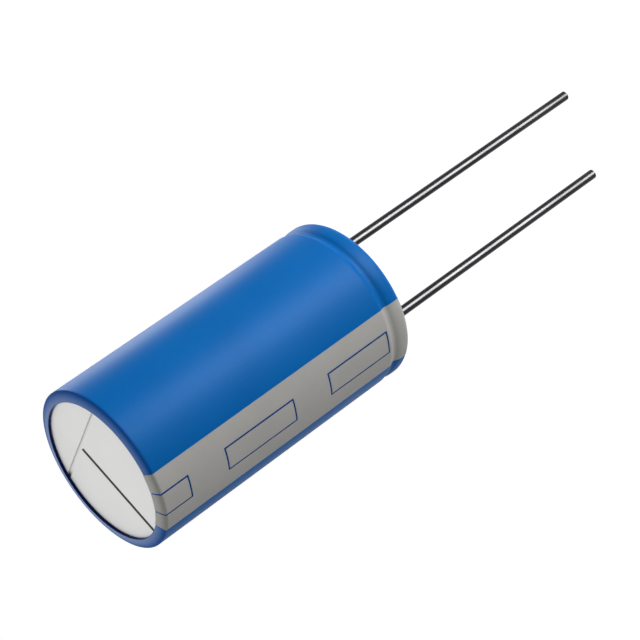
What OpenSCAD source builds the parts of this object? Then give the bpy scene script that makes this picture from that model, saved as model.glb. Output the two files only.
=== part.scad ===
// Radial-lead supercapacitor: a drawn aluminium can in a shrunk plastic sleeve, closed by
// a rubber bung that is crimped in, with a wound carbon element and two tinned wires.
// Millimetres. +Z runs up the can from the seating plane, where Z = 0, to the vent end.
// The axis of the can is X = Y = 0 and the positive wire is on +X.

/* [Sleeved body] */
// Outer diameter of the sleeved body
sleeve_d = 10; // [9:0.5:16]
// Height of the sleeved body, from the seating plane to the folded lip
body_h = 18.95; // [16:0.05:35]
// Wall of the shrunk sleeve
sleeve_wall = 0.18; // [0.1:0.01:0.25]
// Radius of the sleeve where it folds over the vent end
lip_round = 0.4; // [0.3:0.05:0.9]
// Flat width of the folded lip, from the end of its radius to its edge
lip_flat = 0.27; // [0.1:0.01:0.6]
// Flat width of the sleeve's turned-under end at the seat
seat_flat = 0.25; // [0.15:0.05:0.5]

/* [Crimp] */
// Radius of the rolled rim at the seat
rim_round = 0.5; // [0.5:0.05:0.8]
// Radius of the crimp groove above the rim
crimp_round = 0.55; // [0.25:0.05:0.7]
// Depth of the crimp groove below the straight wall
crimp_depth = 0.22; // [0.1:0.02:0.3]
// Radius of the shoulder between the crimp groove and the straight wall
shoulder_round = 0.5; // [0.5:0.05:0.8]

/* [Can] */
// Wall of the drawn can
can_wall = 0.25; // [0.15:0.05:0.25]
// Inner corner radius at the can's end
can_corner = 0.1; // [0.05:0.05:0.3]
// Width of the can's edge, curled in under the bung past the rolled rim
curl_w = 0.45; // [0.3:0.05:0.5]
// Distance of the vent's cross groove from the axis, towards +X
vent_bar_x = 1.9; // [1:0.01:2.5]
// Offset of the vent's long groove from the axis, towards +Y
vent_stem_y = 0.31; // [0:0.01:0.4]
// Width of the vent grooves
vent_w = 0.28; // [0.15:0.01:0.5]
// Depth of the vent grooves
vent_depth = 0.12; // [0.05:0.01:0.14]

/* [Bung and wires] */
// Height of the rubber bung
bung_h = 3; // [2:0.2:4]
// Distance between the two wires
lead_pitch = 5.08; // [4.6:0.01:5.4]
// Diameter of the tinned wires
wire_d = 0.6; // [0.5:0.05:0.8]
// Reach of the positive wire below the seating plane
positive_reach = 21.65; // [3:0.05:30]
// Reach of the negative wire below the seating plane
negative_reach = 18.95; // [3:0.05:30]
// Chamfer at the cut tips of the wires
tip_chamfer = 0.05; // [0.02:0.01:0.1]
// Diameter of a terminal's round boss in the bung
boss_d = 1.3; // [1:0.1:1.6]
// Height of the boss above the bung, where it is pressed flat
boss_rise = 0.3; // [0.2:0.05:0.5]
// Width of a terminal's flat tab, along the winding
tab_w = 1.7; // [1:0.1:2]

/* [Wound element] */
// Thickness of an electrode: foil with carbon on both sides
electrode_t = 0.22; // [0.18:0.01:0.26]
// Thickness of the foil that is left bare behind a tab
foil_t = 0.04; // [0.02:0.01:0.06]
// Thickness of a separator
separator_t = 0.06; // [0.04:0.01:0.08]
// Whole turns inside the tabs
inner_turns = 3; // [2:1:3]
// Free height between the bung and the winding
element_clear_low = 0.6; // [0.5:0.1:1]
// Free height between the winding and the can's end
element_clear_high = 0.8; // [0.5:0.1:1]
// How far each separator stands past the electrodes at both ends
separator_margin = 0.5; // [0.3:0.1:1]
// Thickness of the tape round the winding
tape_t = 0.06; // [0.04:0.01:0.1]
// Free width between the tape and the can
element_clear_side = 0.12; // [0.05:0.01:0.2]

/* [Print] */
// Width of the printed stripe, along the curve of the wall
stripe_w = 4; // [2:0.1:5]
// Angle from +X to the middle of the stripe, near the negative wire
stripe_angle = 213.4; // [150:0.1:230]
// Thickness of the ink
ink_t = 0.02; // [0.01:0.01:0.04]
// Width of the outlined marks, along the curve of the wall
mark_w = 1.54; // [0.8:0.02:2]
// Width of the lines round the marks
line_w = 0.11; // [0.06:0.01:0.2]
// Height of the lowest mark above the seating plane
mark_low_z = 1.73; // [1.6:0.01:2.5]
// Length of the lowest mark
mark_low_len = 4.7; // [3:0.1:5]
// Length of the middle mark
mark_mid_len = 5.2; // [3:0.1:6]
// Distance between the marks
mark_gap = 2.6; // [1:0.1:3]

/* [Fits] */
// Clearance between pieces that nest
fit_gap = 0.01; // [0.005:0.005:0.02]

/* [Hidden] */
$fn = 96;
// Reach of a cutting shape past the face that it opens
past = 1;

body_r = sleeve_d / 2;
lip_edge_r = body_r - lip_round - lip_flat;
sleeve_end_r = body_r - rim_round - seat_flat;

// The rim, the crimp groove and the shoulder are arcs that meet smoothly: the line between
// two centres passes through the point where the arcs touch
rim_r = body_r - rim_round;
crimp_r = body_r - crimp_depth + crimp_round;
crimp_z = rim_round + sqrt(pow(rim_round + crimp_round, 2) - pow(crimp_r - rim_r, 2));
shoulder_r = body_r - shoulder_round;
shoulder_z = crimp_z
    + sqrt(pow(shoulder_round + crimp_round, 2) - pow(crimp_r - shoulder_r, 2));

// Insets of the nested walls from the outside of the sleeve
can_inset = sleeve_wall + fit_gap;
can_inner_inset = can_inset + can_wall;
bung_inset = can_inner_inset + fit_gap;

can_end_z = body_h - can_inset;
can_floor_z = body_h - can_inner_inset;
can_inner_r = body_r - can_inner_inset;
curl_edge_r = rim_r - curl_w;

bung_z = bung_inset;
bung_top_z = bung_z + bung_h;
boss_top_z = bung_top_z + boss_rise;

// Four strips are wound together, a quarter turn apart on one spiral
strip_step = (electrode_t + separator_t) / 2 + fit_gap;
turn_pitch = 4 * strip_step;
turn_segments = 36;
segment_angle = 360 / turn_segments;
spiral_r = lead_pitch / 2 - inner_turns * turn_pitch;
tape_r = can_inner_r - element_clear_side - tape_t;
strip_room = tape_r - fit_gap - electrode_t / 2;
strip_segments = floor((strip_room - spiral_r) / turn_pitch * turn_segments);

separator_z = bung_top_z + element_clear_low;
separator_h = can_floor_z - element_clear_high - separator_z;
electrode_z = separator_z + separator_margin;
electrode_h = separator_h - 2 * separator_margin;

// A tab lies in a bare patch of its electrode, on the side towards the axis
tab_t = electrode_t - foil_t - fit_gap;
tab_offset = (tab_t - electrode_t) / 2;
tab_segments = max(1, round(tab_w / lead_pitch * 180 / PI / segment_angle));
tab_turn = inner_turns * turn_segments;

// A point on the shared spiral, a number of segments from its start
function spiral_point(segment, offset) =
    let (r = spiral_r + turn_pitch * segment / turn_segments + offset)
    [r * cos(segment * segment_angle), r * sin(segment * segment_angle)];

// Section from the axis outwards, inset from the outside of the sleeve: straight wall,
// rounded vent end, crimp groove and rolled rim, all as parallel curves
module body_section(inset) {
    wall_r = body_r - inset;
    end_z = body_h - inset;
    end_round = max(lip_round - inset, can_corner);
    core_r = min(rim_r, shoulder_r);
    difference() {
        union() {
            translate([0, shoulder_z]) square([wall_r, end_z - end_round - shoulder_z]);
            translate([0, shoulder_z]) square([wall_r - end_round, end_z - shoulder_z]);
            translate([wall_r - end_round, end_z - end_round]) circle(end_round);
            translate([0, inset]) square([core_r, body_h / 2]);
            translate([0, inset]) square([rim_r, rim_round - inset / 2]);
            if (rim_round > inset) translate([rim_r, rim_round]) circle(rim_round - inset);
            if (shoulder_round > inset)
                translate([shoulder_r, shoulder_z]) circle(shoulder_round - inset);
            polygon([
                [core_r, rim_round], [rim_r, rim_round], [crimp_r, crimp_z],
                [shoulder_r, shoulder_z], [core_r, shoulder_z],
            ]);
        }
        translate([crimp_r, crimp_z]) circle(crimp_round + inset);
    }
}

// A sector of the wall about +X, as wide as the given width along the curve
module wall_sector(width, z_low, z_high) {
    sweep = width / body_r * 180 / PI;
    rotate([0, 0, -sweep / 2]) rotate_extrude(angle = sweep)
        translate([lip_edge_r - past, z_low])
            square([body_r - lip_edge_r + 2 * past, z_high - z_low]);
}

// The line round a mark
module mark_line(z_low, z_high) {
    difference() {
        wall_sector(mark_w, z_low, z_high);
        wall_sector(mark_w - 2 * line_w, z_low + line_w, z_high - line_w);
    }
}

// Section of a wound strip between two segments of the spiral
module strip_section(first, last, thickness, offset = 0) {
    inner = [for (i = [first : last]) spiral_point(i, offset - thickness / 2)];
    outer = [for (i = [last : -1 : first]) spiral_point(i, offset + thickness / 2)];
    polygon(concat(inner, outer));
}

module wound_separator(quarter) {
    rotate([0, 0, quarter * 90]) translate([0, 0, separator_z])
        linear_extrude(separator_h) strip_section(0, strip_segments, separator_t);
}

// An electrode with the bare patch for its tab
module wound_electrode(quarter) {
    rotate([0, 0, quarter * 90]) translate([0, 0, electrode_z])
        linear_extrude(electrode_h) difference() {
            strip_section(0, strip_segments, electrode_t);
            strip_section(tab_turn - tab_segments - 1, tab_turn + tab_segments + 1,
                electrode_t, -foil_t);
        }
}

// Round boss in the bung and the tab that runs up into the winding
module terminal(quarter) {
    rotate([0, 0, quarter * 90]) {
        translate([lead_pitch / 2, 0, bung_z]) cylinder(d = boss_d, h = boss_top_z - bung_z);
        translate([0, 0, bung_top_z]) linear_extrude(electrode_z + electrode_h - bung_top_z)
            strip_section(tab_turn - tab_segments, tab_turn + tab_segments, tab_t, tab_offset);
    }
}

// A wire from the boss it is welded to, down to its cut tip
module wire(reach) {
    rotate_extrude() translate([0, -reach]) polygon([
        [0, 0], [wire_d / 2 - tip_chamfer, 0], [wire_d / 2, tip_chamfer],
        [wire_d / 2, reach + bung_z], [0, reach + bung_z],
    ]);
}

module sleeve() {
    color([0.09, 0.40, 0.69]) rotate_extrude() difference() {
        body_section(0);
        body_section(sleeve_wall);
        translate([0, -past]) square([sleeve_end_r, crimp_z + past]);
        translate([0, crimp_z]) square([lip_edge_r, body_h - crimp_z + past]);
    }
}

// Ink on the sleeve, open along the lines of the marks so that the sleeve shows there
module stripe_print() {
    sweep = stripe_w / body_r * 180 / PI;
    mark_mid_z = mark_low_z + mark_low_len + mark_gap;
    mark_top_z = mark_mid_z + mark_mid_len + mark_gap;
    color([0.62, 0.62, 0.60]) rotate([0, 0, stripe_angle]) difference() {
        rotate([0, 0, -sweep / 2]) rotate_extrude(angle = sweep) difference() {
            body_section(-fit_gap - ink_t);
            body_section(-fit_gap);
            translate([0, -past]) square([body_r + past, past]);
            translate([0, -past]) square([lip_edge_r, body_h + 2 * past]);
        }
        mark_line(mark_low_z, mark_low_z + mark_low_len);
        mark_line(mark_mid_z, mark_mid_z + mark_mid_len);
        mark_line(mark_top_z, body_h + past);
    }
}

// Grooves of the vent, which run out under the folded lip of the sleeve
module vent_grooves() {
    reach = lip_edge_r + lip_flat + lip_round / 2;
    intersection() {
        translate([0, 0, can_end_z - vent_depth]) cylinder(r = reach, h = vent_depth + past);
        translate([0, 0, can_end_z - vent_depth]) union() {
            translate([vent_bar_x - vent_w / 2, -reach, 0])
                cube([vent_w, 2 * reach, vent_depth + past]);
            translate([-reach, vent_stem_y - vent_w / 2, 0])
                cube([reach + vent_bar_x, vent_w, vent_depth + past]);
        }
    }
}

module can() {
    color([0.86, 0.86, 0.85]) difference() {
        rotate_extrude() difference() {
            body_section(can_inset);
            body_section(can_inner_inset);
            translate([0, -past]) square([curl_edge_r, crimp_z + past]);
        }
        vent_grooves();
    }
}

module rubber_bung() {
    color([0.10, 0.10, 0.11]) difference() {
        rotate_extrude() intersection() {
            body_section(bung_inset);
            square([body_r, bung_top_z]);
        }
        for (side = [-1, 1]) translate([side * lead_pitch / 2, 0, bung_z - past])
            cylinder(d = boss_d + 2 * fit_gap, h = bung_h + 2 * past);
    }
}

module positive_wire() {
    color([0.45, 0.45, 0.46]) translate([lead_pitch / 2, 0, 0]) wire(positive_reach);
}

module negative_wire() {
    color([0.45, 0.45, 0.46]) translate([-lead_pitch / 2, 0, 0]) wire(negative_reach);
}

module positive_terminal() {
    color([0.80, 0.80, 0.80]) terminal(0);
}

module negative_terminal() {
    color([0.74, 0.74, 0.76]) terminal(2);
}

module positive_electrode() {
    color([0.16, 0.16, 0.17]) wound_electrode(0);
}

module negative_electrode() {
    color([0.24, 0.24, 0.26]) wound_electrode(2);
}

module inner_separator() {
    color([0.93, 0.91, 0.85]) wound_separator(1);
}

module outer_separator() {
    color([0.90, 0.87, 0.80]) wound_separator(3);
}

module element_tape() {
    color([0.80, 0.62, 0.25]) translate([0, 0, electrode_z]) linear_extrude(electrode_h)
        difference() {
            circle(tape_r + tape_t);
            circle(tape_r);
        }
}

sleeve();
stripe_print();
can();
rubber_bung();
positive_wire();
negative_wire();
positive_terminal();
negative_terminal();
positive_electrode();
negative_electrode();
inner_separator();
outer_separator();
element_tape();
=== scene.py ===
# %% [markdown]
# # A radial supercapacitor
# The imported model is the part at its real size, in metres: a can in a blue shrink sleeve
# with a printed polarity stripe, a rubber bung, two wires and the wound element inside.
# This notebook gives each piece its finish, draws the sleeve and its print again with softer
# edges, and adds a floor, light and a camera. The cell below loads the model and keeps the
# size of its box, so that the dressed part can be compared with it at the end.

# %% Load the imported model
from math import cos, degrees, pi, radians, sin, sqrt

import bmesh
import bpy
from mathutils import Matrix, Vector


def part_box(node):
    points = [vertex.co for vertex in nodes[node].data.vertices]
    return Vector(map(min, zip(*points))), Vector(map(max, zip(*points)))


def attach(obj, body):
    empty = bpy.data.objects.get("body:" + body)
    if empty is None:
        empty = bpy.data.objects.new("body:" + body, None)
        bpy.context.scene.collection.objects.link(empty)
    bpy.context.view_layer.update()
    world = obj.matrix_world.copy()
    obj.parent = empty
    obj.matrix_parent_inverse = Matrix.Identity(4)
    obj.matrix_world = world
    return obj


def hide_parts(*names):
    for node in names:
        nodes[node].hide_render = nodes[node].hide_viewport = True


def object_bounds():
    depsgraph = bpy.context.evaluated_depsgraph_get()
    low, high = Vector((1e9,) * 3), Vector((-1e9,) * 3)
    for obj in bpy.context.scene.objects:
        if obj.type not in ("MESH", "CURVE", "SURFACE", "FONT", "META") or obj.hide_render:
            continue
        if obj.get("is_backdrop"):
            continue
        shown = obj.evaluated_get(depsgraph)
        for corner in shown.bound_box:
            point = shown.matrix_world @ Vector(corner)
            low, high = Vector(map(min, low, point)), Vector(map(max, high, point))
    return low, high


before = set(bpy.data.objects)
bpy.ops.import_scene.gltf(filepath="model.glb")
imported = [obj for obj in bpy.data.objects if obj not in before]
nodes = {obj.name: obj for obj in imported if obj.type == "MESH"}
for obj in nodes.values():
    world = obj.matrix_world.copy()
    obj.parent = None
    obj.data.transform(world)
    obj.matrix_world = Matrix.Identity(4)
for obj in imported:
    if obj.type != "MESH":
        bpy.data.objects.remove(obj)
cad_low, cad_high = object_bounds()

MM = 0.001
print("pieces:", sorted(nodes))
print("model box in mm:", [round(v / MM, 2) for v in (*cad_low, *cad_high)])

# %% [markdown]
# ## Camera
# The part is seen from a little above its vent end and turned on its side in the frame, so
# that the wires point up and to the right. A camera could be keyed in by hand, but angles of
# a turntable are easier to read and to change: azimuth, elevation, distance, and roll about
# the line of sight. The long lens keeps the two rims of the can nearly parallel.

# %% Camera
view_azimuth = radians(-104.28)
view_elevation = radians(30.04)
view_roll = radians(-125.27)
view_distance = 142.47 * MM
view_target = Vector((-0.143, -0.019, 2.441)) * MM
lens_length = 140.35
sensor_width = 36.0


def direction(azimuth, elevation):
    """A unit vector from the part towards a place on the turntable's sphere."""
    return Vector((
        cos(elevation) * cos(azimuth),
        cos(elevation) * sin(azimuth),
        sin(elevation),
    ))


towards_camera = direction(view_azimuth, view_elevation)
camera_data = bpy.data.cameras.new("camera")
camera_data.lens = lens_length
camera_data.sensor_width = sensor_width
camera_data.clip_start = 1 * MM
camera_data.clip_end = 10.0
camera = bpy.data.objects.new("camera", camera_data)
upright = towards_camera.to_track_quat("Z", "Y").to_matrix()
camera.matrix_world = Matrix.LocRotScale(
    view_target + towards_camera * view_distance,
    upright @ Matrix.Rotation(view_roll, 3, "Z"),
    None,
)
bpy.context.scene.collection.objects.link(camera)
bpy.context.scene.camera = camera
print("camera at", [round(v / MM, 1) for v in camera.location], "mm")

# %% [markdown]
# ## Shading helpers
# Every finish below is a small network of nodes. It could be wired by hand in the shader
# editor, or written out node by node, which would take pages. A few short helpers do the
# wiring instead: `put` adds a node, `feed` fills a socket with a link or a plain value, and
# `maths`, `fade` and `mixed` are the three nodes that are needed most. Colours are given as
# they look on a screen, and `screen` turns them into the linear values that a shader takes.
# Object coordinates are used throughout, because a pattern on them stays fixed to the metal
# or the film at its true size, from whichever side the part is seen.

# %% Helpers that wire nodes
def feed(tree, socket, value):
    """Link an output to the socket, or write a plain value there."""
    if isinstance(value, bpy.types.NodeSocket):
        tree.links.new(value, socket)
    else:
        socket.default_value = value


def put(tree, kind, *values, **named):
    """Add a node. Lower-case names are its options and capitalised names are its sockets."""
    node = tree.nodes.new("ShaderNode" + kind)
    for name, value in named.items():
        if name[0].islower():
            setattr(node, name, value)
    for socket, value in zip(node.inputs, values):
        feed(tree, socket, value)
    for name, value in named.items():
        if name[0].isupper():
            feed(tree, node.inputs[name.replace("_", " ")], value)
    return node


def maths(tree, operation, first, second=0.0):
    """A sum, a product or another operation on one or two values."""
    return put(tree, "Math", first, second, operation=operation).outputs[0]


def fade(tree, value, low, high, start=0.0, end=1.0):
    """Turn the range low to high into start to end, and hold it there outside the range."""
    node = put(tree, "MapRange", Value=value, From_Min=low, From_Max=high,
               To_Min=start, To_Max=end)
    return node.outputs["Result"]


def mixed(tree, amount, colour, other):
    """Blend from a colour to another. A Mix node has its colour sockets at 6, 7 and 2."""
    node = put(tree, "Mix", data_type="RGBA")
    feed(tree, node.inputs[0], amount)
    feed(tree, node.inputs[6], colour)
    feed(tree, node.inputs[7], other)
    return node.outputs[2]


print("wiring helpers ready")

# %% Helpers for colours and new finishes
def screen(red, green, blue):
    """A colour as it is read off a screen, from 0 to 255, turned into linear light."""
    parts = [v / 255 for v in (red, green, blue)]
    return (*[v / 12.92 if v <= 0.04045 else ((v + 0.055) / 1.055) ** 2.4 for v in parts], 1.0)


def new_finish(name, **plain):
    """Start a material. The plain values are the same all over the surface."""
    material = bpy.data.materials.new(name)
    material.use_nodes = True
    tree = material.node_tree
    shader = tree.nodes["Principled BSDF"]
    for socket, value in plain.items():
        shader.inputs[socket.replace("_", " ")].default_value = value
    place = put(tree, "TexCoord").outputs["Object"]
    return material, tree, shader, place


print("mid grey 128 is", round(screen(128, 128, 128)[0], 3), "in linear light")

# %% [markdown]
# ## Shared effects
# A real surface is never one flat colour: film has a fine grain, drawn metal has lines along
# the way it was drawn, and every finish drifts a little from place to place. These effects
# come back in many materials. They could be copied from one to the next, but a node group
# with named sockets is built once and placed with other values each time. `fine_grain` is a
# noise that can be stretched along the can and `slow_drift` is a wide soft variation.
# `end_fold` finds the film's fold over the vent end by its depth below the top: the crease
# where it turns, which gets a painted shade, and the lip beyond, for a painted sheen and more
# gloss.

# %% Helper for node groups
def new_group(name, takes, gives):
    """An empty group, with the sockets on the inside of it ready to be linked."""
    group = bpy.data.node_groups.new(name, "ShaderNodeTree")
    for label, kind, value in takes:
        socket = group.interface.new_socket(label, in_out="INPUT", socket_type="NodeSocket" + kind)
        if value is not None:
            socket.default_value = value
    for label, kind in gives:
        group.interface.new_socket(label, in_out="OUTPUT", socket_type="NodeSocket" + kind)
    entry = group.nodes.new("NodeGroupInput")
    leave = group.nodes.new("NodeGroupOutput")
    return group, entry.outputs, leave.inputs


print("group helper ready")

# %% Grain and drift
fine_grain, takes, gives = new_group(
    "fine_grain",
    [("Vector", "Vector", None), ("Size", "Float", 0.1 * MM), ("Length", "Float", 1.0)],
    [("Grain", "Float")],
)
shrink = maths(fine_grain, "DIVIDE", 1.0, takes["Length"])
stretch = put(fine_grain, "CombineXYZ", 1.0, 1.0, shrink).outputs[0]
drawn_out = put(fine_grain, "Mapping", Vector=takes["Vector"], Scale=stretch).outputs[0]
per_metre = maths(fine_grain, "DIVIDE", 1.0, takes["Size"])
noise = put(fine_grain, "TexNoise", Vector=drawn_out, Scale=per_metre, Detail=4.0, Roughness=0.6)
fine_grain.links.new(noise.outputs["Fac"], gives["Grain"])

slow_drift, takes, gives = new_group(
    "slow_drift",
    [("Vector", "Vector", None), ("Size", "Float", 3 * MM)],
    [("Drift", "Float")],
)
per_metre = maths(slow_drift, "DIVIDE", 1.0, takes["Size"])
noise = put(slow_drift, "TexNoise", Vector=takes["Vector"], Scale=per_metre, Detail=2.0)
slow_drift.links.new(fade(slow_drift, noise.outputs["Fac"], 0.35, 0.65), gives["Drift"])
print("made", fine_grain.name, "and", slow_drift.name)

# %% Fold at the vent end
fold_drop = 0.17 * MM
crease_shade_reach = 0.16 * MM
lip_full = 0.02 * MM
lip_end = 0.75 * fold_drop

end_fold, takes, gives = new_group(
    "end_fold",
    [("Vector", "Vector", None), ("Top", "Float", 20 * MM)],
    [("Crease_shade", "Float"), ("Lip_sheen", "Float")],
)
height = put(end_fold, "SeparateXYZ", takes["Vector"]).outputs["Z"]
depth = maths(end_fold, "SUBTRACT", takes["Top"], height)
# Painted shade: full at the bend of the fold and fading down the wall.
crease = fade(end_fold, depth, fold_drop, fold_drop + crease_shade_reach, 1.0, 0.0)
end_fold.links.new(crease, gives["Crease_shade"])
# The lip near the cut edge, which gets a painted sheen in the film's colour and more gloss.
lip = fade(end_fold, depth, lip_full, lip_end, 1.0, 0.0)
end_fold.links.new(lip, gives["Lip_sheen"])
print("node groups:", [group.name for group in bpy.data.node_groups])

# %% [markdown]
# ## Placing the effects
# `use` places a group in a material, and `from_axis` measures how far a place lies from the
# can's axis, which is what a mask by radius needs. The other three end a finish: `paint`
# gives the shader its colour, `roughen` lets its gloss follow a grain, and `emboss` turns a
# height into a bump of a true depth in metres. Such a fine relief could be cut into the mesh,
# but it would take millions of faces and never show in the outline.

# %% Helpers that place an effect and end a finish
grain_low, grain_high = 0.3, 0.7


def use(tree, group, **values):
    """Place a group in a material and hand back its first output."""
    node = tree.nodes.new("ShaderNodeGroup")
    node.node_tree = group
    for name, value in values.items():
        feed(tree, node.inputs[name], value)
    return node.outputs[0]


def from_axis(tree, place):
    """The way from the can's axis to a place, and how long it is."""
    way = put(tree, "VectorMath", place, (1.0, 1.0, 0.0), operation="MULTIPLY").outputs[0]
    return way, put(tree, "VectorMath", way, operation="LENGTH").outputs["Value"]


def paint(tree, shader, colour):
    """Give the shader its colour."""
    feed(tree, shader.inputs["Base Color"], colour)


def roughen(tree, shader, grain, least, most):
    """Let the roughness follow a grain, from its usual lowest value to its highest."""
    feed(tree, shader.inputs["Roughness"], fade(tree, grain, grain_low, grain_high, least, most))


def emboss(tree, shader, height, depth):
    """Give the shader a relief from a height of 0 to 1 that stands for a true depth."""
    relief = put(tree, "Bump", Height=height, Distance=depth, Strength=1.0)
    feed(tree, shader.inputs["Normal"], relief.outputs["Normal"])


print("grain is read from", grain_low, "to", grain_high)

# %% [markdown]
# ## Blue sleeve film
# The sleeve is a tube of blue plastic film that was shrunk onto the can with hot air. Shrunk
# film is satin: it gives a soft band of light along the body and a pale haze only where it
# turns away from the eye. A low refractive index keeps the colour deep where the film faces
# the viewer. One blue would do for the wall, but at the vent end the colour carries painted
# shade in the crease, a painted lilac sheen on the lip, which is also glossier, and painted
# navy shade on its cut edge, beside the gap round the can. A material for each would leave
# hard borders, so masks by height and radius blend them in one. The film is also painted a
# little darker under the ink, as shade in its narrow gaps, so that the marks in the stripe read as
# dark lines.

# %% Sizes of the sleeve
body_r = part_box("sleeve")[1].x
body_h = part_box("sleeve")[1].z
film_wall = 0.18 * MM
lip_width = 0.67 * MM
lip_edge_r = body_r - lip_width
# Radii where the painted shade on the film's cut edge is full and where it ends.
cut_full_r = lip_edge_r + 0.01 * MM
cut_end_r = lip_edge_r + 0.025 * MM
# Degrees round the axis, counted from the positive wire.
stripe_middle = 213.4
# Degrees to either side of the middle of the stripe, where the painted shade under the ink is full
# and where it ends.
shaded_full = 20.5
shaded_end = 21.5
print("sleeve of radius", round(body_r / MM, 3), "and height", round(body_h / MM, 3), "mm")

# %% Masks of the sleeve film
blue_film, tree, shader, place = new_finish(
    "blue_film", IOR=1.13, Coat_IOR=1.5, Coat_Roughness=0.35)
grain = use(tree, fine_grain, Vector=place, Size=0.06 * MM)
drift = use(tree, slow_drift, Vector=place, Size=4 * MM)
fold = use(tree, end_fold, Vector=place, Top=body_h).node.outputs
outwards, radius = from_axis(tree, place)
height = put(tree, "SeparateXYZ", place).outputs["Z"]
# Painted navy shade on the film's cut edge at the vent end.
at_cut = fade(tree, radius, cut_full_r, cut_end_r, 1.0, 0.0)
upper_half = fade(tree, height, body_h / 2, body_h / 2 + MM)
cut_edge_shade = maths(tree, "MULTIPLY", at_cut, upper_half)
around = put(tree, "VectorMath", outwards, operation="NORMALIZE").outputs["Vector"]
stripe_way = direction(radians(stripe_middle), 0)
facing = put(tree, "VectorMath", around, stripe_way, operation="DOT_PRODUCT").outputs["Value"]
# Painted shade on the film under the ink, seen in the gaps of the marks.
ink_gap_shade = fade(tree, facing, cos(radians(shaded_end)), cos(radians(shaded_full)))
print("masks for the fold, the cut edge and the film under the ink")

# %% Colour and gloss of the sleeve film
film_colour = mixed(tree, drift, screen(2, 99, 175), screen(4, 102, 179))
# Painted shade on the film under the ink.
film_colour = mixed(tree, ink_gap_shade, film_colour, screen(2, 64, 132))
# Painted shade in the crease of the fold.
film_colour = mixed(tree, fold["Crease_shade"], film_colour, screen(2, 74, 148))
# Painted sheen on the lip.
film_colour = mixed(tree, fold["Lip_sheen"], film_colour, screen(20, 87, 156))
# Painted shade on the cut edge.
paint(tree, shader, mixed(tree, cut_edge_shade, film_colour, screen(4, 24, 78)))
roughen(tree, shader, grain, 0.40, 0.46)
emboss(tree, shader, grain, 0.0004 * MM)
glossy = put(tree, "Math", fold["Lip_sheen"], cut_edge_shade, operation="SUBTRACT", use_clamp=True)
feed(tree, shader.inputs["Coat Weight"], maths(tree, "MULTIPLY", glossy.outputs[0], 0.85))
print("blue film has", len(tree.nodes), "nodes")

# %% [markdown]
# ## Grey ink
# The stripe that marks the negative wire is printed on the film with a dense grey ink. One
# more mask in the film's material could paint it, but ink is a layer of its own with its own
# gloss, so it is a piece with a finish of its own. Ink on film is flatter than the film, with
# faint clouds where it went on thicker and a fine tooth from the printing roller, which is
# the shared grain at a larger size. In the crease it gets the same painted shade as the film under
# it.

# %% Grey ink
grey_ink, tree, shader, place = new_finish("grey_ink", IOR=1.13)
tooth = use(tree, fine_grain, Vector=place, Size=0.09 * MM)
drift = use(tree, slow_drift, Vector=place, Size=2.5 * MM)
fold = use(tree, end_fold, Vector=place, Top=body_h).node.outputs
clouds = mixed(tree, drift, screen(176, 175, 172), screen(180, 179, 176))
# Painted shade in the crease of the fold, which the lip leaves out.
crease_shaded = mixed(tree, fold["Crease_shade"], clouds, screen(142, 141, 138))
ink_colour = mixed(tree, fold["Lip_sheen"], crease_shaded, clouds)
speck = maths(tree, "MULTIPLY", fade(tree, tooth, grain_low, 0.45, 1.0, 0.0), 0.08)
paint(tree, shader, mixed(tree, speck, ink_colour, screen(90, 89, 87)))
roughen(tree, shader, tooth, 0.46, 0.56)
emboss(tree, shader, tooth, 0.0006 * MM)
print("grey ink ready")

# %% [markdown]
# ## Drawn aluminium of the can
# The can is punched from a slug of pure aluminium, which leaves a fine even satin and, on the
# end, very faint rings. The vent is two grooves pressed into the end so that it opens there
# if pressure builds up. Their steep walls are painted dark as shade, those of the long groove
# the most. Their faces could be picked out for a second material, but the model's pieces keep
# their mesh as it is, so a mask by height and slope paints that shade on the walls, and the
# groove's floor stays as pale as the end.

# %% Drawn metal with faint rings
can_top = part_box("can")[1].z
vent_depth = 0.12 * MM
vent_floor = can_top - vent_depth
floor_margin = 0.03 * MM
end_face_r = 4.42 * MM
end_fade_r = 4.46 * MM

can_aluminium, tree, shader, place = new_finish("can_aluminium", Metallic=0.3)
satin = use(tree, fine_grain, Vector=place, Size=0.05 * MM, Length=3.0)
drift = use(tree, slow_drift, Vector=place, Size=3 * MM)
radius = from_axis(tree, place)[1]
ring_noise = put(tree, "TexNoise", noise_dimensions="1D", W=radius, Scale=6 / MM, Detail=3.0)
rings = ring_noise.outputs["Fac"]
metal = mixed(tree, drift, screen(240, 240, 239), screen(243, 243, 242))
print("can end at", round(can_top / MM, 2), "mm")

# %% Painted shade on the walls of the vent
height = put(tree, "SeparateXYZ", place).outputs["Z"]
slope = put(tree, "SeparateXYZ", put(tree, "NewGeometry").outputs["Normal"]).outputs
steep = fade(tree, maths(tree, "ABSOLUTE", slope["Z"]), 0.3, 0.6, 1.0, 0.0)
near_end = fade(tree, height, vent_floor - floor_margin, vent_floor)
on_end = fade(tree, radius, end_face_r, end_fade_r, 1.0, 0.0)
# Painted shade on the steep walls of the vent grooves near the end face.
vent_wall_shade_mask = maths(tree, "MULTIPLY", maths(tree, "MULTIPLY", steep, near_end), on_end)
long_groove = fade(tree, maths(tree, "ABSOLUTE", slope["Y"]), 0.3, 0.6)
# The walls of the long groove get the darkest painted shade.
vent_wall_shade = mixed(tree, long_groove, screen(230, 230, 230), screen(108, 108, 109))
paint(tree, shader, mixed(tree, vent_wall_shade_mask, metal, vent_wall_shade))
roughen(tree, shader, satin, 0.52, 0.60)
relief = maths(
    tree, "ADD", maths(tree, "MULTIPLY", satin, 0.6), maths(tree, "MULTIPLY", rings, 0.4))
emboss(tree, shader, relief, 0.0005 * MM)
print("vent grooves", round(vent_depth / MM, 2), "mm deep")

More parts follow.
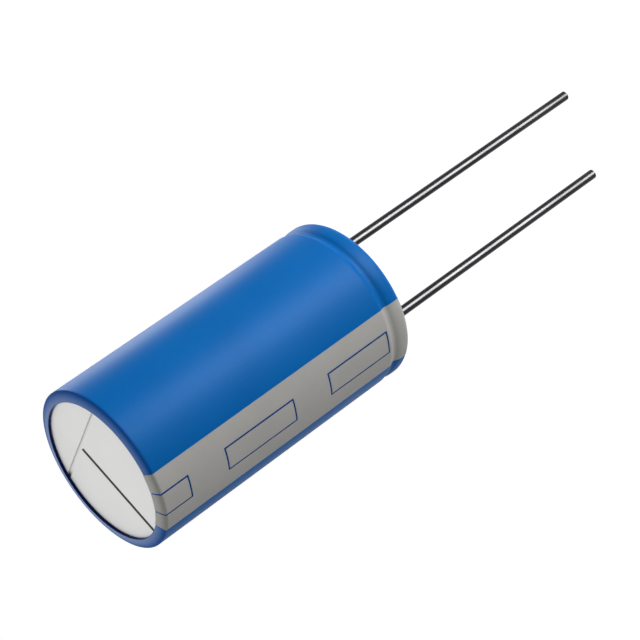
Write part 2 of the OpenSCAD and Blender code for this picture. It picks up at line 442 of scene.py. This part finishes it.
# %% [markdown]
# ## Tinned wire
# The wires are copper-clad steel with a bright tin plate. Drawn wire has fine lines along its
# length, which spread a highlight round the wire and keep it sharp lengthwise. They could be
# an anisotropic gloss, but the shared grain, stretched twenty times, gives them with what is
# already there. Against a pale room such a wire reads as almost black with one bright streak,
# so the metal is dark and the streak comes from a lamp.

# %% Tinned wire
tinned_wire, tree, shader, place = new_finish("tinned_wire", Metallic=1.0)
lines = use(tree, fine_grain, Vector=place, Size=0.03 * MM, Length=20.0)
drift = use(tree, slow_drift, Vector=place, Size=2 * MM)
paint(tree, shader, mixed(tree, drift, screen(36, 36, 37), screen(42, 42, 43)))
roughen(tree, shader, lines, 0.27, 0.29)
emboss(tree, shader, lines, 0.00008 * MM)
print("tinned wire ready")

# %% [markdown]
# ## Rubber of the bung
# The bung is butyl rubber, moulded and then squeezed by the crimp. Moulded rubber is dark and
# matt with a slight bloom, a pale dust that works its way out of the surface. A plain dark
# grey would pass for plastic, so the grain gives the mould's texture and the drift decides
# where the bloom has settled.

# %% Rubber of the bung
bung_rubber, tree, shader, place = new_finish("bung_rubber")
texture = use(tree, fine_grain, Vector=place, Size=0.12 * MM)
drift = use(tree, slow_drift, Vector=place, Size=1.2 * MM)
bloom = maths(tree, "MULTIPLY", drift, 0.5)
paint(tree, shader, mixed(tree, bloom, screen(38, 38, 40), screen(58, 58, 60)))
roughen(tree, shader, texture, 0.58, 0.72)
emboss(tree, shader, texture, 0.006 * MM)
print("rubber ready")

# %% [markdown]
# ## Finishes inside the can
# The wound element can't be seen while the can is closed. Its pieces could be left grey, but
# the part may be cut open or taken apart, so they are finished too. Terminals are bright
# pressed aluminium, the electrodes carry a matt coat of carbon grains, the separators are
# soft white paper, and the winding is held by an amber film tape.

# %% Terminals and carbon
terminal_aluminium, tree, shader, place = new_finish("terminal_aluminium", Metallic=1.0)
press = use(tree, fine_grain, Vector=place, Size=0.08 * MM, Length=6.0)
drift = use(tree, slow_drift, Vector=place, Size=1 * MM)
paint(tree, shader, mixed(tree, drift, screen(214, 214, 216), screen(226, 226, 228)))
roughen(tree, shader, press, 0.22, 0.36)
emboss(tree, shader, press, 0.002 * MM)

carbon_coating, tree, shader, place = new_finish("carbon_coating")
grains = put(tree, "TexVoronoi", Vector=place, Scale=1 / (0.05 * MM)).outputs["Distance"]
powder = use(tree, fine_grain, Vector=place, Size=0.04 * MM)
paint(tree, shader, mixed(tree, powder, screen(34, 34, 36), screen(62, 62, 65)))
roughen(tree, shader, powder, 0.75, 0.95)
emboss(tree, shader, grains, 0.01 * MM)
print("terminals and carbon ready")

# %% Paper and tape
separator_paper, tree, shader, place = new_finish("separator_paper", Roughness=0.9)
fibres = use(tree, fine_grain, Vector=place, Size=0.05 * MM, Length=8.0)
pulp = use(tree, fine_grain, Vector=place, Size=0.2 * MM)
paint(tree, shader, mixed(tree, pulp, screen(243, 240, 230), screen(228, 222, 206)))
emboss(tree, shader, maths(tree, "ADD", fibres, pulp), 0.008 * MM)

tape_film, tree, shader, place = new_finish("tape_film", IOR=1.6)
smear = use(tree, fine_grain, Vector=place, Size=0.4 * MM, Length=0.3)
drift = use(tree, slow_drift, Vector=place, Size=3 * MM)
paint(tree, shader, mixed(tree, drift, screen(196, 142, 46), screen(214, 164, 70)))
roughen(tree, shader, smear, 0.16, 0.3)
emboss(tree, shader, smear, 0.003 * MM)
print("paper and tape ready")

# %% [markdown]
# ## Dressing the model's own pieces
# Pieces whose shape in the model is already right only need their finish. They could be
# drawn again, but the model's own mesh is exact and is the one that the physics knows. The
# finish is given by clearing the material slots of the mesh and adding the new material.

# %% Dress the model's own pieces
finishes = {
    "can": can_aluminium,
    "rubber_bung": bung_rubber,
    "positive_wire": tinned_wire,
    "negative_wire": tinned_wire,
    "positive_terminal": terminal_aluminium,
    "negative_terminal": terminal_aluminium,
    "positive_electrode": carbon_coating,
    "negative_electrode": carbon_coating,
    "inner_separator": separator_paper,
    "outer_separator": separator_paper,
    "element_tape": tape_film,
}
for name, material in finishes.items():
    nodes[name].data.materials.clear()
    nodes[name].data.materials.append(material)
print("dressed", len(finishes), "pieces")

# %% [markdown]
# ## A pen for sections
# Film is drawn round the can like a skin, so the sleeve is a section turned about the axis.
# The section could be typed in as a list of points, but it is really a few arcs joined by
# straight lines. A short pen draws those: a line extrudes a vertex, and an arc spins it about
# its centre, and both hand back the new tip.

# %% Pen for sections
def line_to(bm, tip, r, z):
    """Extrude the tip of the section in a straight line."""
    made = bmesh.ops.extrude_vert_indiv(bm, verts=[tip])["verts"][0]
    made.co = (r, 0, z)
    return made


def arc_about(bm, tip, r, z, turn, steps):
    """Spin the tip of the section about a centre, clockwise for a positive turn."""
    made = bmesh.ops.spin(
        bm, geom=[tip], cent=(r, 0, z), axis=(0, 1, 0), angle=radians(turn), steps=steps)
    return [part for part in made["geom_last"] if isinstance(part, bmesh.types.BMVert)][0]


print("pen ready")

# %% [markdown]
# ## Crimp groove and rim
# Near the seat the can is crimped onto the bung. Stretched film bridges most of that groove:
# it leaves the wall over a tight shoulder, dips a little, comes back in a long swell and then
# rolls round the rim to the seat. A free curve could follow it, but three arcs that touch one
# another are smooth where they meet and are set by one depth and three radii. The same pen,
# given an inset, draws the parallel curve about the same centres: the inside of the film.

# %% Crimp groove and rim
rim_round = 0.5 * MM
crimp_z = 1.26 * MM
crimp_round = 0.4 * MM
crimp_depth = 0.135 * MM
shoulder_round = 0.38 * MM
swell_round = 0.9 * MM
seat_ring = 0.25 * MM

rim_r = body_r - rim_round
seat_edge_r = rim_r - seat_ring
crimp_r = body_r - crimp_depth + crimp_round


def arc_off_wall(radius):
    """Centre radius, distance from the crimp and turn of an arc from the wall to the groove."""
    centre_r = body_r - radius
    reach = sqrt((radius + crimp_round) ** 2 - (crimp_r - centre_r) ** 2)
    return centre_r, reach, degrees(Vector((1, 0)).angle(Vector((crimp_r - centre_r, reach))))


shoulder_r, shoulder_reach, shoulder_turn = arc_off_wall(shoulder_round)
swell_r, swell_reach, swell_turn = arc_off_wall(swell_round)
shoulder_z = crimp_z + shoulder_reach
swell_z = crimp_z - swell_reach


def draw_crimp(bm, tip, inset):
    """Carry the section on down the wall, through the crimp and round the rim."""
    tip = line_to(bm, tip, body_r - inset, shoulder_z)
    tip = arc_about(bm, tip, shoulder_r, shoulder_z, shoulder_turn, 8)
    tip = arc_about(bm, tip, crimp_r, crimp_z, -shoulder_turn - swell_turn, 12)
    tip = arc_about(bm, tip, swell_r, swell_z, swell_turn, 12)
    tip = line_to(bm, tip, body_r - inset, rim_round)
    tip = arc_about(bm, tip, rim_r, rim_round, 90, 16)
    return line_to(bm, tip, seat_edge_r, inset)


print("crimp groove from", round(swell_z / MM, 3), "to", round(shoulder_z / MM, 3), "mm")

# %% [markdown]
# ## Fold over the vent end
# At the vent end the film bends sharply off the wall and then slopes gently up to its cut
# edge. A single quarter circle would be easier, but it looks like a tyre. So the lip is one
# shallow arc from the bend to the cut edge, found from its chord and its turn. The inside of
# the film lies on the rounded corner of the can.

# %% Fold over the vent end
fold_turn = 12
fold_chord = Vector((lip_width, -fold_drop))
fold_radius = fold_chord.length / 2 / sin(radians(fold_turn / 2))
fold_slope = radians(-degrees(fold_chord.angle_signed(Vector((1, 0)))) - fold_turn / 2)
fold_r = lip_edge_r - fold_radius * sin(fold_slope)
fold_z = body_h - fold_radius * cos(fold_slope)
can_corner = 0.21 * MM
corner_r = body_r - film_wall - can_corner
corner_z = body_h - film_wall - can_corner


def draw_outside(bm, lift=0.0):
    """Draw the outside from the lip to the seat, and return its start, bend and end."""
    reach = fold_radius + lift
    start = bm.verts.new((fold_r + reach * sin(fold_slope), 0, fold_z + reach * cos(fold_slope)))
    bend = arc_about(bm, start, fold_r, fold_z, fold_turn, 5)
    bend.co.x = body_r + lift
    return start, bend, draw_crimp(bm, bend, -lift)


def draw_inside(bm):
    """Draw the inside, which lies on the rounded corner of the can."""
    start = bm.verts.new((lip_edge_r, 0, body_h - film_wall))
    tip = line_to(bm, start, corner_r, body_h - film_wall)
    tip = arc_about(bm, tip, corner_r, corner_z, 90, 8)
    return start, draw_crimp(bm, tip, film_wall)


print("fold of radius", round(fold_radius / MM, 2), "mm,",
      "sloping", round(degrees(fold_slope), 1), "degrees")

# %% [markdown]
# ## Turning the sleeve
# The outside and the inside of the film are drawn and joined at the lip and at the seat, and
# the bend and the corners of the cut edges are softened, because shrunk film never keeps a
# knife edge. One full turn about the axis closes the tube. A Screw modifier would do the
# same, but the spin operator leaves a plain mesh that needs nothing more. The model's own
# sleeve stays in the physics and is hidden here.

# %% Turn the sleeve
sharp_angle = 35
merge_distance = 0.0001 * MM
soft_corner = 0.03 * MM


def finish_mesh(bm, name, material):
    """Merge and turn outwards what was spun, and make an object of it."""
    bmesh.ops.remove_doubles(bm, verts=bm.verts, dist=merge_distance)
    bmesh.ops.recalc_face_normals(bm, faces=bm.faces)
    mesh = bpy.data.meshes.new(name)
    bm.to_mesh(mesh)
    bm.free()
    mesh.shade_smooth()
    mesh.set_sharp_from_angle(angle=radians(sharp_angle))
    mesh.materials.append(material)
    piece = bpy.data.objects.new(name, mesh)
    bpy.context.scene.collection.objects.link(piece)
    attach(piece, "root")
    print(name, "has", len(mesh.polygons), "faces")
    return piece


bm = bmesh.new()
outer_start, outer_bend, outer_end = draw_outside(bm)
inner_start, inner_end = draw_inside(bm)
bm.edges.new((outer_start, inner_start))
bm.edges.new((outer_end, inner_end))
corners = [outer_start, inner_start, outer_bend, outer_end, inner_end]
bmesh.ops.bevel(
    bm, geom=corners, offset=soft_corner, segments=3, profile=0.5, affect="VERTICES", material=-1)
bmesh.ops.spin(
    bm, geom=bm.verts[:] + bm.edges[:], cent=(0, 0, 0), axis=(0, 0, 1), angle=radians(360),
    steps=180, use_merge=True)
sleeve_film = finish_mesh(bm, "sleeve_film", blue_film)
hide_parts("sleeve")

# %% [markdown]
# ## Printing the stripe
# The stripe is a skin of ink on the same section, turned only as far as the stripe is wide.
# The outlined marks in it could be drawn in blue on top, but on a real print they are gaps
# where the film shows. So each gap's edges are cut into the skin with planes, the faces
# between them are taken out, and the solidify operator gives the ink its thickness.

# %% Measure the marks
stripe_width = 4 * MM
mark_width = 1.54 * MM
line_width = 0.11 * MM
stripe_half = degrees(stripe_width / 2 / body_r)
mark_half = degrees(mark_width / 2 / body_r)
line_turn = degrees(line_width / body_r)
past_the_lip = body_h + MM
marks = [
    (1.73 * MM, 6.43 * MM),
    (9.03 * MM, 14.23 * MM),
    (16.83 * MM, past_the_lip),
]


def across_stripe(place):
    """Degrees round the body from the middle of the stripe."""
    turned = Matrix.Rotation(radians(-stripe_middle), 3, "Z") @ place
    return degrees(Vector((1, 0)).angle_signed(turned.xy))


def in_line(place):
    """Whether a place lies in the outline of one of the marks."""
    angle = abs(across_stripe(place))
    for low, high in marks:
        inside = angle < mark_half and low < place.z < high
        middle = angle < mark_half - line_turn and low + line_width < place.z < high - line_width
        if inside and not middle:
            return True
    return False


print("stripe", round(2 * stripe_half, 1), "degrees wide with", len(marks), "marks")

# %% Print the stripe
ink_lift = 0.002 * MM
ink_thickness = 0.015 * MM


def cut(bm, point, normal, **options):
    """Cut every face along a plane, and keep both sides unless told otherwise."""
    bmesh.ops.bisect_plane(
        bm, geom=bm.verts[:] + bm.edges[:] + bm.faces[:], plane_co=point, plane_no=normal,
        **options)


bm = bmesh.new()
draw_outside(bm, ink_lift)
bmesh.ops.rotate(
    bm, verts=bm.verts, cent=(0, 0, 0),
    matrix=Matrix.Rotation(radians(stripe_middle - stripe_half), 3, "Z"))
bmesh.ops.spin(
    bm, geom=bm.verts[:] + bm.edges[:], cent=(0, 0, 0), axis=(0, 0, 1),
    angle=radians(2 * stripe_half), steps=24)
for angle in (-mark_half, line_turn - mark_half, mark_half - line_turn, mark_half):
    turn = radians(stripe_middle + angle)
    cut(bm, (0, 0, 0), (-sin(turn), cos(turn), 0))
for low, high in marks:
    for z in (low, low + line_width, high - line_width, high):
        cut(bm, (0, 0, z), (0, 0, 1))
gaps = [face for face in bm.faces if in_line(face.calc_center_median())]
bmesh.ops.delete(bm, geom=gaps, context="FACES")
cut(bm, (0, 0, 0), (0, 0, -1), clear_outer=True)
bmesh.ops.recalc_face_normals(bm, faces=bm.faces)
bmesh.ops.solidify(bm, geom=bm.faces[:], thickness=-ink_thickness)
stripe_ink = finish_mesh(bm, "stripe_ink", grey_ink)
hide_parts("stripe_print")

# %% [markdown]
# ## Floor and background
# The part hangs over a wide white floor, far enough below the wires that its shadow is soft.
# The background is to be pure white, but more light would wash out the film. Instead, the
# floor and the sky are made to look white to the camera and in reflections, and only there,
# with the Light Path node. The light that they throw on the part stays low.

# %% Floor
floor_drop = 220 * MM
floor_half = 2000 * MM
floor_glow = 0.8


def seen_directly(tree):
    """1 for the camera, for reflections and for what is seen through glass."""
    path = put(tree, "LightPath").outputs
    seen = maths(tree, "MAXIMUM", path["Is Camera Ray"], path["Is Glossy Ray"])
    return maths(tree, "MAXIMUM", seen, path["Is Transmission Ray"])


bm = bmesh.new()
bmesh.ops.create_grid(bm, x_segments=1, y_segments=1, size=floor_half)
bmesh.ops.translate(bm, verts=bm.verts, vec=(0, 0, cad_low.z - floor_drop))
mesh = bpy.data.meshes.new("floor")
bm.to_mesh(mesh)
bm.free()
floor = bpy.data.objects.new("floor", mesh)
bpy.context.scene.collection.objects.link(floor)
floor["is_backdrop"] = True

floor_paint, tree, shader, place = new_finish("floor_paint", Roughness=0.9)
drift = use(tree, slow_drift, Vector=place, Size=40 * MM)
paint(tree, shader, mixed(tree, drift, screen(228, 228, 228), screen(232, 232, 232)))
feed(tree, shader.inputs["Emission Color"], (1, 1, 1, 1))
glow = maths(tree, "MULTIPLY", seen_directly(tree), floor_glow)
feed(tree, shader.inputs["Emission Strength"], glow)
mesh.materials.append(floor_paint)
print("floor", round(floor_drop / MM), "mm below the wires")

# %% Sky
sky_light = 0.22

world = bpy.data.worlds.new("studio")
bpy.context.scene.world = world
world.use_nodes = True
tree = world.node_tree
background = tree.nodes["Background"].inputs
feed(tree, background["Strength"], fade(tree, seen_directly(tree), 0.0, 1.0, sky_light, 1.0))
feed(tree, background["Color"], (1, 1, 1, 1))
print("sky throws", sky_light, "of its white on the part")

# %% [markdown]
# ## Highlights
# The light has two jobs, modelling the colours and making highlights. The same lamps could do
# both, but then each change of tone would move a highlight. So the highlights are made apart,
# by tall strips that stand where the body and the wires would mirror them, and that shine on
# gloss only. Two of them serve the plastic, for the band along the body and the haze on its
# far edge, and one serves the wires, since metal wants a much stronger strip than satin film.
# Light linking says which pieces each strip reaches.

# %% Helper for lamps
def softbox(name, azimuth, elevation, distance, size, glow, aim=Vector((0, 0, 0))):
    """A rectangular lamp that faces its aim, with a glow where 1 is paper white."""
    data = bpy.data.lights.new(name, "AREA")
    data.shape = "RECTANGLE"
    data.size, data.size_y = size
    data.energy = glow * pi * size[0] * size[1]
    lamp = bpy.data.objects.new(name, data)
    out = direction(radians(azimuth), radians(elevation))
    lamp.matrix_world = Matrix.LocRotScale(
        aim + out * distance, out.to_track_quat("Z", "Y"), None)
    lamp.visible_camera = False
    bpy.context.scene.collection.objects.link(lamp)
    print(name, "lamp,", round(data.energy * 1000), "mW")
    return lamp


print("lamp helper ready")

# %% Highlights
strip_distance = 60 * MM


def strip(name, azimuth, bottom, top, width, glow, pieces):
    """A tall lamp beside the part that only shows as a highlight on the given pieces."""
    lamp = softbox(name, azimuth, 0, strip_distance, (width, top - bottom), glow,
                   Vector((0, 0, (top + bottom) / 2)))
    lamp.visible_diffuse = False
    lit = bpy.data.collections.new(name + "_pieces")
    for piece in pieces:
        lit.objects.link(piece)
    lamp.light_linking.receiver_collection = lit


wires = [nodes["positive_wire"], nodes["negative_wire"]]
body = [sleeve_film, stripe_ink, nodes["can"]]
strip("wire_strip", -99, -70 * MM, -20 * MM, 46 * MM, 52.0, wires)
strip("body_strip", -82, -70 * MM, 12 * MM, 30 * MM, 16.0, body)
strip("edge_strip", 24, -28 * MM, 3 * MM, 38 * MM, 5.6, body)

# %% [markdown]
# ## Soft light
# The colours are modelled by large soft lamps at a plain level: one near the camera, one on
# the side of the positive wire, a weaker one over the vent end, and one behind the part for
# the views from there. The first two stand low, so that the body is brighter than the end.
# None of them shows in a gloss, which is left to the strips. The Standard view transform
# then renders a colour about as it is written.

# %% Soft light
lamp_distance = 280 * MM
lamp_size = (168 * MM, 168 * MM)
soft_lamps = [
    ("front", -105, -28, 5.1),
    ("side", -40, -28, 4.6),
    ("top", 60, 70, 4.0),
    ("back", 76, -4, 3.6),
]
for name, azimuth, elevation, glow in soft_lamps:
    softbox(name, azimuth, elevation, lamp_distance, lamp_size, glow).visible_glossy = False

bpy.context.scene.view_settings.view_transform = "Standard"

# %% Finish
low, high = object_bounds()
print("dressed box in mm:", [round(v / MM, 2) for v in (*low, *high)])
